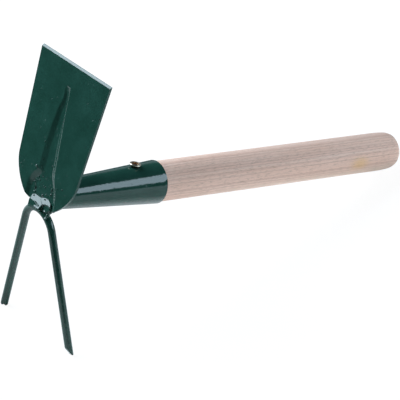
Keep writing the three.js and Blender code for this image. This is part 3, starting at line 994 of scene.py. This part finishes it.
# The grains' spacing in mm, and how far a grain's top and foot reach, as shares of it.
DUST_SPACING = 5.0
DUST_FULL, DUST_END = 0.05, 0.13
DUST_HEIGHT, DUST_STRENGTH = 0.12, 0.5

enamel, tree = new_material("green_gloss_enamel")
place = add_node(tree, "TexCoord").outputs["Object"]
film = clouds(tree, place, FILM_PATCH, detail=3.0, roughness=0.55)
shade = add_node(tree, "ValToRGB", {"Fac": film}, stops=[
    (0.3, colour(ENAMEL_THICK)), (0.5, colour(ENAMEL)), (0.72, colour(ENAMEL_THIN)),
])
peel = clouds(tree, place, PEEL_GRAIN, detail=2.0)
dust = add_node(tree, "TexVoronoi", {
    "Vector": place, "Scale": 1 / (DUST_SPACING * MM), "Randomness": 1.0,
})
dust_grain = fade(tree, dust.outputs["Distance"], DUST_FULL, DUST_END, before=1.0, after=0.0)
peel_bump = bump(tree, peel, PEEL_STRENGTH, PEEL_HEIGHT)
dust_bump = bump(tree, dust_grain, DUST_STRENGTH, DUST_HEIGHT, Normal=peel_bump)
surface(tree, shade.outputs["Color"], ENAMEL_ROUGHNESS, IOR=ENAMEL_INDEX, Normal=dust_bump)
coat(enamel, socket, blade, fork, front_weld, back_weld)

# %% [markdown]
# ## Ash
# Ash is a pale, slightly pink open-pored wood. Its growth rings show as long
# bands of a warmer tone along the rod, and its pores as fine dark dashes. The
# rings are noise read by the distance from a pith outside the rod, as in a rod
# sawn from the outer part of a trunk. The dashes are noise that is stretched
# along the handle, so the coordinates are first turned back to the level tool.
# Towards the butt the underside is painted warmer and lighter, a painted light
# from below, and the far side of the top is painted greyer, a painted shade.
# There is also one ragged yellow stain.
# Each of these is a soft mix with one more tone.

# %% Ash wood
ASH_LATE, ASH_EARLY, ASH_PALE = "#e2bbaa", "#f8d3c1", "#eed2c4"
ASH_PORE = "#b8937f"
ASH_CLOUD = "#f6e8de"
# This pair is a painted light for the underside and a painted shade for the far side.
ASH_PAINTED_UNDERLIGHT, ASH_PAINTED_SHADE = "#ffe4d0", "#b49a8e"
ASH_STAIN = "#ecb876"
ASH_ROUGHNESS = 0.62
ASH_INDEX = 1.45
# The middle of the trunk in mm, and the rings' spacing, sway and stretch along the rod.
PITH = (0, 24, 62)
RING_SPACING = 1.5
RING_SWAY = 2.4
SWAY_PATCH = 7
RING_STRETCH = (0.004, 1, 1)
# Real pores are at most a third of a millimetre wide. They are drawn wider so that they show.
PORE_WIDTH = 0.45
PORE_STRETCH = (0.11, 1, 1)
PORE_PALE, PORE_DARK = 0.5, 0.68
PORE_SHARE = 0.5
PORE_HEIGHT, PORE_STRENGTH = 0.1, 0.3
CLOUD_PATCH = 9
CLOUD_STRETCH = (0.12, 1, 1)
# In mm: where the painted light below and the painted shade on the far side begin and are full.
UNDERLIGHT_TOP, UNDERLIGHT_FOOT = -1.0, -12.0
PAINTED_SHADE_NEAR, PAINTED_SHADE_FAR = -9, 3
PAINTED_SHADE_SHARE = 0.45
PAINTED_SHADE_AT_MOUTH, PAINTED_SHADE_AT_BUTT = 0.3, 1.3
# In mm: the stain's middle and its reach, and how much the grain frays its rim.
STAIN_SPOT, STAIN_REACH = (180, -13, -0.5), 7
STAIN_STRETCH = (0.6, 1, 1)
STAIN_FRAY, STAIN_CORE = 5, 3
STAIN_SHARE = 0.6

ash, tree = new_material("turned_ash")
place = add_node(tree, "TexCoord").outputs["Object"]
shifted = add_node(tree, "VectorMath", {0: place, 1: mouth_spot}, operation="SUBTRACT")
level = add_node(tree, "Mapping", {
    "Vector": shifted.outputs["Vector"], "Rotation": (0, -tilt, 0),
}).outputs["Vector"]

# The rings, with a slow sway in them.
slow = drawn_out(tree, level, CLOUD_STRETCH)
sway = clouds(tree, slow, SWAY_PATCH, detail=3.0, output="Color")
swayed = drawn_out(tree, sway, (RING_SWAY * MM,) * 3)
grown = add_node(tree, "VectorMath", {0: level, 1: swayed})
from_pith = drawn_out(
    tree, grown.outputs["Vector"], RING_STRETCH, Location=Vector(PITH) * -MM
)
far_out = add_node(tree, "VectorMath", {0: from_pith}, operation="LENGTH")
ring = add_node(tree, "TexNoise", {
    "W": far_out.outputs["Value"], "Scale": 1 / (RING_SPACING * MM), "Detail": 3.0,
    "Roughness": 0.65,
}, noise_dimensions="1D")
tone = add_node(tree, "ValToRGB", {"Fac": ring.outputs["Fac"]}, stops=[
    (0.35, colour(ASH_LATE)), (0.55, colour(ASH_EARLY)), (0.75, colour(ASH_PALE)),
])

# The pores, and the cloudy tone of the whole rod.
fine = drawn_out(tree, level, PORE_STRETCH)
dashes = clouds(tree, fine, PORE_WIDTH, detail=2.0, roughness=0.6)
pore = fade(tree, dashes, PORE_PALE, PORE_DARK, after=PORE_SHARE)
pored = blend(tree, pore, tone.outputs["Color"], colour(ASH_PORE))
cloudy = clouds(tree, slow, CLOUD_PATCH, detail=2.0)
clouded = blend(tree, cloudy, pored, colour(ASH_CLOUD), way="MULTIPLY")

# The painted light on the underside, stronger towards the butt.
side = add_node(tree, "SeparateXYZ", {0: level})
underlight = fade(tree, side.outputs["Z"], UNDERLIGHT_FOOT * MM, UNDERLIGHT_TOP * MM, before=1.0, after=0.0)
underlight_along = fade(tree, side.outputs["X"], 0.0, HANDLE_REACH, way="LINEAR")
underlit = blend(tree, product(tree, underlight, underlight_along), clouded, colour(ASH_PAINTED_UNDERLIGHT))

# The painted shade on the far side, stronger towards the butt too.
back = fade(tree, side.outputs["Y"], PAINTED_SHADE_NEAR * MM, PAINTED_SHADE_FAR * MM, after=PAINTED_SHADE_SHARE)
shade_along = fade(
    tree, side.outputs["X"], 0.0, HANDLE_REACH, PAINTED_SHADE_AT_MOUTH, PAINTED_SHADE_AT_BUTT, way="LINEAR"
)
far_side_shaded = blend(tree, product(tree, back, shade_along), underlit, colour(ASH_PAINTED_SHADE))

# The stain, frayed by the same noise that draws the pores.
from_stain = add_node(tree, "VectorMath", {
    0: level, 1: Vector(STAIN_SPOT) * MM,
}, operation="SUBTRACT")
stretched = drawn_out(tree, from_stain.outputs["Vector"], STAIN_STRETCH)
to_stain = add_node(tree, "VectorMath", {0: stretched}, operation="LENGTH")
ragged = add_node(tree, "Math", {
    0: dashes, 1: STAIN_FRAY * MM, 2: to_stain.outputs["Value"],
}, operation="MULTIPLY_ADD")
stain = fade(
    tree, ragged.outputs[0], STAIN_CORE * MM, (STAIN_REACH + STAIN_CORE) * MM,
    before=STAIN_SHARE, after=0.0,
)
stained = blend(tree, stain, far_side_shaded, colour(ASH_STAIN))

grain_bump = bump(tree, dashes, PORE_STRENGTH, PORE_HEIGHT)
surface(tree, stained, ASH_ROUGHNESS, IOR=ASH_INDEX, Normal=grain_bump)
coat(ash, handle)

# %% [markdown]
# ## Yellow zinc
# The screw is steel, plated with zinc and passivated to a brassy yellow. To the
# eye the plating is bare metal: all that it shows is its tinted reflections, so
# it is fully metallic and its tone is the tint. The film is brown in the middle
# of the head and pale towards the rim, and below the rim a painted shade darkens
# it. The distance from the head's middle draws the first two, and the depth
# draws the painted shade.

# %% Yellow zinc
# The third tone is a painted shade for the screw below its head's rim.
ZINC_PALE, ZINC_BROWN, ZINC_PAINTED_SHADE = "#e8dfc9", "#7d5a38", "#40382c"
ZINC_ROUGHNESS = 0.28
# In mm: the brown middle's reach, its ragged edge's width and patches, and the depths at which
# the painted shade begins and is full.
RECESS_REACH = 2.7
RAGGED_EDGE = 1.6
RAGGED_PATCH = 1.4
PAINTED_SHADE_FROM, PAINTED_SHADE_FULL = 0.8, 1.3

zinc, tree = new_material("yellow_zinc_plate")
place = add_node(tree, "TexCoord").outputs["Object"]
from_head = add_node(tree, "VectorMath", {0: place, 1: head_middle}, operation="DISTANCE")
worn = clouds(tree, place, RAGGED_PATCH, detail=2.0)
edge = add_node(tree, "Math", {
    0: worn, 1: RAGGED_EDGE * MM, 2: from_head.outputs["Value"],
}, operation="MULTIPLY_ADD")
pooled = fade(
    tree, edge.outputs[0], RECESS_REACH * MM, (RECESS_REACH + RAGGED_EDGE) * MM,
    before=1.0, after=0.0,
)
plating = blend(tree, pooled, colour(ZINC_PALE), colour(ZINC_BROWN))
from_top = add_node(tree, "VectorMath", {0: place, 1: head_middle}, operation="SUBTRACT")
down = add_node(tree, "VectorMath", {
    0: from_top.outputs["Vector"], 1: -screw_up,
}, operation="DOT_PRODUCT")
# A painted shade darkens the screw below the rim, by depth under the head's top.
painted_shade_depth = fade(tree, down.outputs["Value"], PAINTED_SHADE_FROM * MM, PAINTED_SHADE_FULL * MM)
with_painted_shade = blend(tree, painted_shade_depth, plating, colour(ZINC_PAINTED_SHADE))
surface(tree, with_painted_shade, ZINC_ROUGHNESS, Metallic=1.0)
coat(zinc, screw)

# %% [markdown]
# ## The studio
# The tool lies on a white sheet. A large softbox stands on its right, and a
# second, stronger one behind it on its left. The rest of the room is dim, and
# that matters: glossy enamel shows the room, and in a white room the dark green
# would wash out to grey. Beyond the sheet the camera still sees plain white.
#
# The reflections in the photograph suggest that the paper behind the tool is in
# shade and that a pale wall stands beyond it. So the sheet has two faces: the
# camera sees it white with the tool's shadow on it, and the light and the
# enamel see it with bands of painted shade.

# %% The white sheet
# In metres: the sheet's size, and where it begins to go over, and how fast: to plain white for the
# camera, and to a dark painted shade for the light and the enamel.
SHEET_SIZE = 12.0
SHEET_EDGE = 0.55
SHEET_FADE = 0.35
# In metres along Y, away from the camera: where the two shaded bands begin and are full.
SHADE_UNDER = (0.0, 0.04)
SHADE_BEHIND = (0.03, 0.1)
# In metres to the camera's left: where the far band begins to end and has ended.
SHADE_LEFT = (0.13, 0.19)
LEFT_WAY = (-0.788, 0.615, 0)
# The paper's tones for the light and the enamel: the darker ones under, behind and far from the
# tool are painted shade.
PAPER_NEAR, PAPER_SHADE_UNDER = "#fffaf5", "#c4bfbb"
PAPER_SHADE_BEHIND, PAPER_SHADE_FAR = "#606060", "#404040"
# For the camera: a glow that is nearly white, and a grey that the lamps lift to full white.
SEEN_GREY = "#5c5c5c"
SEEN_GLOW = 0.93
WHITE = "#ffffff"

bpy.ops.mesh.primitive_plane_add(size=SHEET_SIZE, location=(0, 0, 0))
sheet = bpy.context.object
sheet.name = "white_sheet"
white, tree = new_material("white_paper_sheet")
place = add_node(tree, "TexCoord").outputs["Object"]
reach = add_node(tree, "VectorMath", {0: place}, operation="LENGTH")
far = fade(tree, reach.outputs["Value"], SHEET_EDGE, SHEET_EDGE + SHEET_FADE)
side = add_node(tree, "SeparateXYZ", {0: place})
near_back = fade(tree, side.outputs["Y"], *SHADE_UNDER)
far_back = fade(tree, side.outputs["Y"], *SHADE_BEHIND)
leftward = add_node(tree, "VectorMath", {0: place, 1: LEFT_WAY}, operation="DOT_PRODUCT")
right_of_head = fade(tree, leftward.outputs["Value"], *SHADE_LEFT, before=1.0, after=0.0)
under = blend(tree, near_back, colour(PAPER_NEAR), colour(PAPER_SHADE_UNDER))
paper_with_painted_shade = blend(tree, product(tree, far_back, right_of_head), under, colour(PAPER_SHADE_BEHIND))
matt = add_node(tree, "BsdfDiffuse", {"Color": blend(tree, far, paper_with_painted_shade, colour(PAPER_SHADE_FAR))})
seen = add_node(tree, "BsdfDiffuse", {"Color": colour(SEEN_GREY)})
glow = add_node(tree, "Emission", {"Color": colour(WHITE), "Strength": SEEN_GLOW})
seen_white = add_node(tree, "AddShader", {0: seen.outputs[0], 1: glow.outputs[0]})
plain_white = add_node(tree, "Emission", {"Color": colour(WHITE), "Strength": 1.0})
camera_sheet = add_node(tree, "MixShader", {
    0: far, 1: seen_white.outputs[0], 2: plain_white.outputs[0],
})
ray = add_node(tree, "LightPath")
both = add_node(tree, "MixShader", {
    0: ray.outputs["Is Camera Ray"], 1: matt.outputs[0], 2: camera_sheet.outputs[0],
})
add_node(tree, "OutputMaterial", {"Surface": both.outputs[0]})
coat(white, sheet)

# %% The dim room
# The room's tones from the floor up, each with the height it is at as a share of straight up.
ROOM_TONES = ((0.0, "#33363a"), (0.35, "#26282a"), (0.7, "#1a1c1e"))
WALL_TONE = "#a4acb6"
# The wall lies in the level way from the camera over the tool. The pairs are where it begins
# and is full to the side, and where it begins to end and has ended above.
BACK_WAY = (0.615, 0.788, 0)
WALL_ASIDE = (0.72, 0.9)
WALL_TOP = (0.12, 0.4)

world = bpy.data.worlds.new("dim_room")
bpy.context.scene.world = world
world.use_nodes = True
tree = world.node_tree
tree.nodes.clear()
way = add_node(tree, "TexCoord").outputs["Generated"]
height = add_node(tree, "SeparateXYZ", {0: way}).outputs["Z"]
room = add_node(tree, "ValToRGB", {"Fac": height}, stops=[
    (rise, colour(shade)) for rise, shade in ROOM_TONES
])
aside = add_node(tree, "VectorMath", {0: way, 1: BACK_WAY}, operation="DOT_PRODUCT")
behind = fade(tree, aside.outputs["Value"], *WALL_ASIDE)
low = fade(tree, height, *WALL_TOP, before=1.0, after=0.0)
walled = blend(tree, product(tree, behind, low), room.outputs["Color"], colour(WALL_TONE))
dim = add_node(tree, "Background", {"Color": walled, "Strength": 1.0})
bright = add_node(tree, "Background", {"Color": colour(WHITE), "Strength": 1.0})
ray = add_node(tree, "LightPath")
both = add_node(tree, "MixShader", {
    0: ray.outputs["Is Camera Ray"], 1: dim.outputs[0], 2: bright.outputs[0],
})
add_node(tree, "OutputWorld", {"Surface": both.outputs[0]})
print("the room has", len(tree.nodes), "nodes")

# %% The softboxes
TOOL_HEIGHT = 0.08
# Each one's name, azimuth and elevation in degrees, distance, width and height in metres,
# brightness as a share of the white sheet's, and tint.
SOFTBOXES = (
    ("right_softbox", -50, 23, 0.9, 0.76, 0.42, 5.55, "#d7eeff"),
    ("left_softbox", 112, 36, 1.2, 1.3, 0.95, 8.6, "#e2f2ff"),
)

for name, azimuth, elevation, distance, wide, high, brightness, tint in SOFTBOXES:
    lamp = bpy.data.lights.new(name, "AREA")
    lamp.shape = "RECTANGLE"
    lamp.size = wide
    lamp.size_y = high
    lamp.energy = brightness * math.pi * wide * high
    lamp.color = colour(tint)[:3]
    holder = bpy.data.objects.new(name, lamp)
    bpy.context.scene.collection.objects.link(holder)
    turn, rise = math.radians(azimuth), math.radians(elevation)
    way = Vector((math.cos(turn) * math.cos(rise), math.sin(turn) * math.cos(rise), math.sin(rise)))
    holder.matrix_world = (
        Matrix.Translation(Vector((0, 0, TOOL_HEIGHT)) + way * distance)
        @ way.to_track_quat("Z", "Y").to_matrix().to_4x4()
    )
    print(name, "gives", round(lamp.energy, 2), "W from", distance, "m away")

# %% [markdown]
# ## The camera
# The camera looks down at the tool from the left of its blade, from about 1.6
# metres away through a long lens, rolled by a little. It was fitted to the
# tool's outlines in the photograph.

# %% The camera
CAMERA_SPOT = (-0.82210, -1.06515, 0.92366)
CAMERA_TURN = (56.569, 1.6813, -38.1911)
CAMERA_ANGLE = 9.819

lens = bpy.data.cameras.new("product_lens")
lens.sensor_fit = "AUTO"
lens.angle = math.radians(CAMERA_ANGLE)
lens.clip_end = 50
camera = bpy.data.objects.new("product_camera", lens)
camera.location = CAMERA_SPOT
camera.rotation_euler = [math.radians(v) for v in CAMERA_TURN]
bpy.context.scene.collection.objects.link(camera)
bpy.context.scene.camera = camera
bpy.context.scene.view_settings.view_transform = "Standard"
print("the camera is", round(camera.location.length, 2), "m from the frame's middle")
